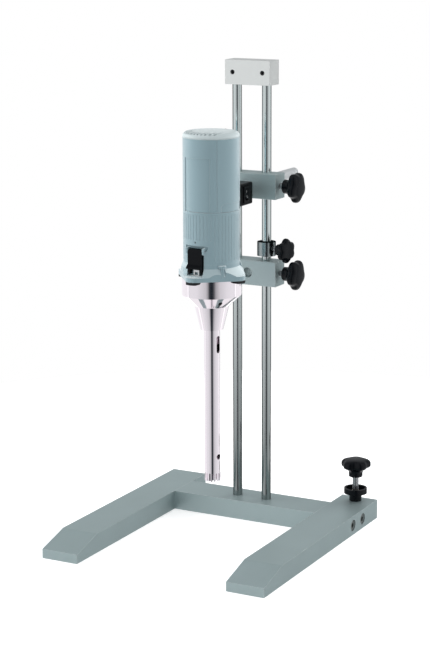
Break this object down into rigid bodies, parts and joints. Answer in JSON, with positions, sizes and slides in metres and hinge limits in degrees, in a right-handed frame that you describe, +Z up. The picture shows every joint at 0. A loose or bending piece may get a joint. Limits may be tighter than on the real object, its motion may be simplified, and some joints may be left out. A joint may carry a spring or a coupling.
{
  "type": "laboratory homogenizer",
  "caption": "Hand-size motor drive with a dispersing generator, held by its rod on a twin-column stand with an open H-shaped foot, clamp blocks, star knobs and a levelling screw.",
  "frame": {"origin": "on the bench, midway between the two columns, in the plane of their axes", "axes": "+X to the user's right, +Y to the rear, away from the drive, +Z up along the columns"},
  "size_m": [0.306, 0.3955, 0.5995],
  "materials": {
    "bar_aluminium": "satin anodised",
    "top_aluminium": "satin anodised, light",
    "column_steel": "polished",
    "screw_black": "black oxide",
    "thread_steel": "zinc plated",
    "knob_black": "satin moulded",
    "insert_brass": "machined",
    "rod_light": "satin",
    "bracket_black": "satin moulded",
    "switch_black": "moulded",
    "drive_grey": "die cast, satin paint",
    "cap_white": "satin moulded",
    "pad_rubber": "matte",
    "lever_black": "gloss moulded",
    "core_steel": "varnished laminations",
    "winding_copper": "copper",
    "carbon": "carbon",
    "shaft_steel": "ground",
    "fan_black": "moulded",
    "coupling_red": "moulded",
    "adapter_steel": "polished",
    "tube_steel": "polished",
    "bush_white": "low-friction polymer"
  },
  "bodies": {
    "stand": {"left_leg": "bar_aluminium", "right_leg": "bar_aluminium", "crossbar": "bar_aluminium", "leg_screws": "screw_black", "left_column": "column_steel", "right_column": "column_steel", "column_screws": "screw_black", "top_block": "top_aluminium", "top_set_screws": "screw_black"},
    "carriage": {"upper_clamp_block": "bar_aluminium", "rod_lock_screw": "screw_black"},
    "carriage_thread": {"upper_clamp_stud": "thread_steel"},
    "carriage_grip": {"upper_clamp_knob": "knob_black"},
    "vessel_block": {"lower_clamp_block": "bar_aluminium", "lower_lock_screw": "screw_black"},
    "vessel_thread": {"lower_clamp_stud": "thread_steel"},
    "vessel_grip": {"lower_clamp_knob": "knob_black"},
    "collar": {"stop_collar": "column_steel"},
    "collar_thread": {"collar_stud": "thread_steel"},
    "collar_grip": {"collar_knob": "knob_black"},
    "levelling_thread": {"levelling_stud": "thread_steel"},
    "levelling_grip": {"levelling_knob": "knob_black"},
    "nut_thread": {"lock_nut_insert": "insert_brass"},
    "nut_grip": {"lock_nut": "knob_black"},
    "drive": {"support_rod": "rod_light", "rod_bracket": "bracket_black", "bracket_screws": "thread_steel", "bracket_grub_screw": "screw_black", "switch_bezel": "switch_black", "motor_housing": "drive_grey", "vent_cap": "cap_white", "cord_gland": "switch_black", "base_casing": "drive_grey", "corner_pads": "pad_rubber", "pad_screws": "thread_steel", "housing_screws": "thread_steel", "lever_pin": "thread_steel", "lever_catch": "thread_steel", "field_stator": "core_steel", "field_coils": "winding_copper", "brush_holders": "insert_brass", "carbon_brushes": "carbon", "upper_bearing": "shaft_steel", "lower_bearing": "shaft_steel", "adapter_cone": "adapter_steel", "adapter_set_screw": "screw_black", "generator_tube": "tube_steel", "stator_head": "tube_steel", "guide_bushes": "bush_white"},
    "rocker": {"switch_rocker": "switch_black"},
    "dial": {"speed_dial": "knob_black"},
    "lever": {"clamp_lever": "lever_black"},
    "spindle": {"armature": "core_steel", "commutator": "winding_copper", "motor_shaft": "shaft_steel", "cooling_fan": "fan_black", "coupling": "coupling_red", "drive_shaft": "shaft_steel", "rotor_head": "shaft_steel"}
  },
  "joints": [
    {"name": "carriage_slide", "type": "slide", "parent": "stand", "child": "carriage", "axis": [0, 0, 1], "range_m": [-0.03, 0.111]},
    {"name": "drive_rod_slide", "type": "slide", "parent": "carriage", "child": "drive", "axis": [0, 1, 0], "range_m": [-0.08, 0.012]},
    {"name": "carriage_screw", "type": "slide", "parent": "carriage", "child": "carriage_thread", "axis": [1, 0, 0], "range_m": [0, 0.003]},
    {"name": "carriage_knob", "type": "hinge", "parent": "carriage_thread", "child": "carriage_grip", "pos_m": [0.0458, 0, 0.441], "axis": [1, 0, 0], "range_deg": [0, 870]},
    {"name": "vessel_slide", "type": "slide", "parent": "stand", "child": "vessel_block", "axis": [0, 0, 1], "range_m": [-0.28, 0]},
    {"name": "vessel_screw", "type": "slide", "parent": "vessel_block", "child": "vessel_thread", "axis": [1, 0, 0], "range_m": [0, 0.003]},
    {"name": "vessel_knob", "type": "hinge", "parent": "vessel_thread", "child": "vessel_grip", "pos_m": [0.0458, 0, 0.3285], "axis": [1, 0, 0], "range_deg": [0, 870]},
    {"name": "collar_slide", "type": "slide", "parent": "stand", "child": "collar", "axis": [0, 0, 1], "range_m": [0, 0.012]},
    {"name": "collar_screw", "type": "slide", "parent": "collar", "child": "collar_thread", "axis": [0.9816, -0.1908, 0], "range_m": [0, 0.002]},
    {"name": "collar_knob_turn", "type": "hinge", "parent": "collar_thread", "child": "collar_grip", "pos_m": [0.021, 0, 0.3596], "axis": [0.9816, -0.1908, 0], "range_deg": [0, 725]},
    {"name": "levelling_screw", "type": "slide", "parent": "stand", "child": "levelling_thread", "axis": [0, 0, 1], "range_m": [-0.006, 0.008]},
    {"name": "levelling_knob_turn", "type": "hinge", "parent": "levelling_thread", "child": "levelling_grip", "pos_m": [0.128, 0.0478, 0.0575], "axis": [0, 0, 1], "range_deg": [-1740, 2320]},
    {"name": "lock_nut_screw", "type": "slide", "parent": "stand", "child": "nut_thread", "axis": [0, 0, 1], "range_m": [0, 0.004]},
    {"name": "lock_nut_turn", "type": "hinge", "parent": "nut_thread", "child": "nut_grip", "pos_m": [0.128, 0.0478, 0.0252], "axis": [0, 0, 1], "range_deg": [0, 1160]},
    {"name": "rocker_tilt", "type": "hinge", "parent": "drive", "child": "rocker", "pos_m": [0.012, -0.0455, 0.435], "axis": [0, 1, 0], "range_deg": [0, 14]},
    {"name": "dial_turn", "type": "hinge", "parent": "drive", "child": "dial", "pos_m": [0.00702, -0.08186, 0.511], "axis": [-0.9703, 0.2419, 0], "range_deg": [0, 270]},
    {"name": "lever_swing", "type": "hinge", "parent": "drive", "child": "lever", "pos_m": [-0.0038, -0.14338, 0.3771], "axis": [-0.9936, 0.1132, 0], "range_deg": [0, 100]},
    {"name": "spindle_turn", "type": "hinge", "parent": "drive", "child": "spindle", "pos_m": [0, -0.11, 0.42], "axis": [0, 0, 1], "continuous": true}
  ],
  "couplings": [
    {"joint": "carriage_knob", "follows": "carriage_screw", "rad_per_m": 5026.5},
    {"joint": "vessel_knob", "follows": "vessel_screw", "rad_per_m": 5026.5},
    {"joint": "collar_knob_turn", "follows": "collar_screw", "rad_per_m": 6283.2},
    {"joint": "levelling_knob_turn", "follows": "levelling_screw", "rad_per_m": 5026.5},
    {"joint": "lock_nut_turn", "follows": "lock_nut_screw", "rad_per_m": 5026.5}
  ]
}
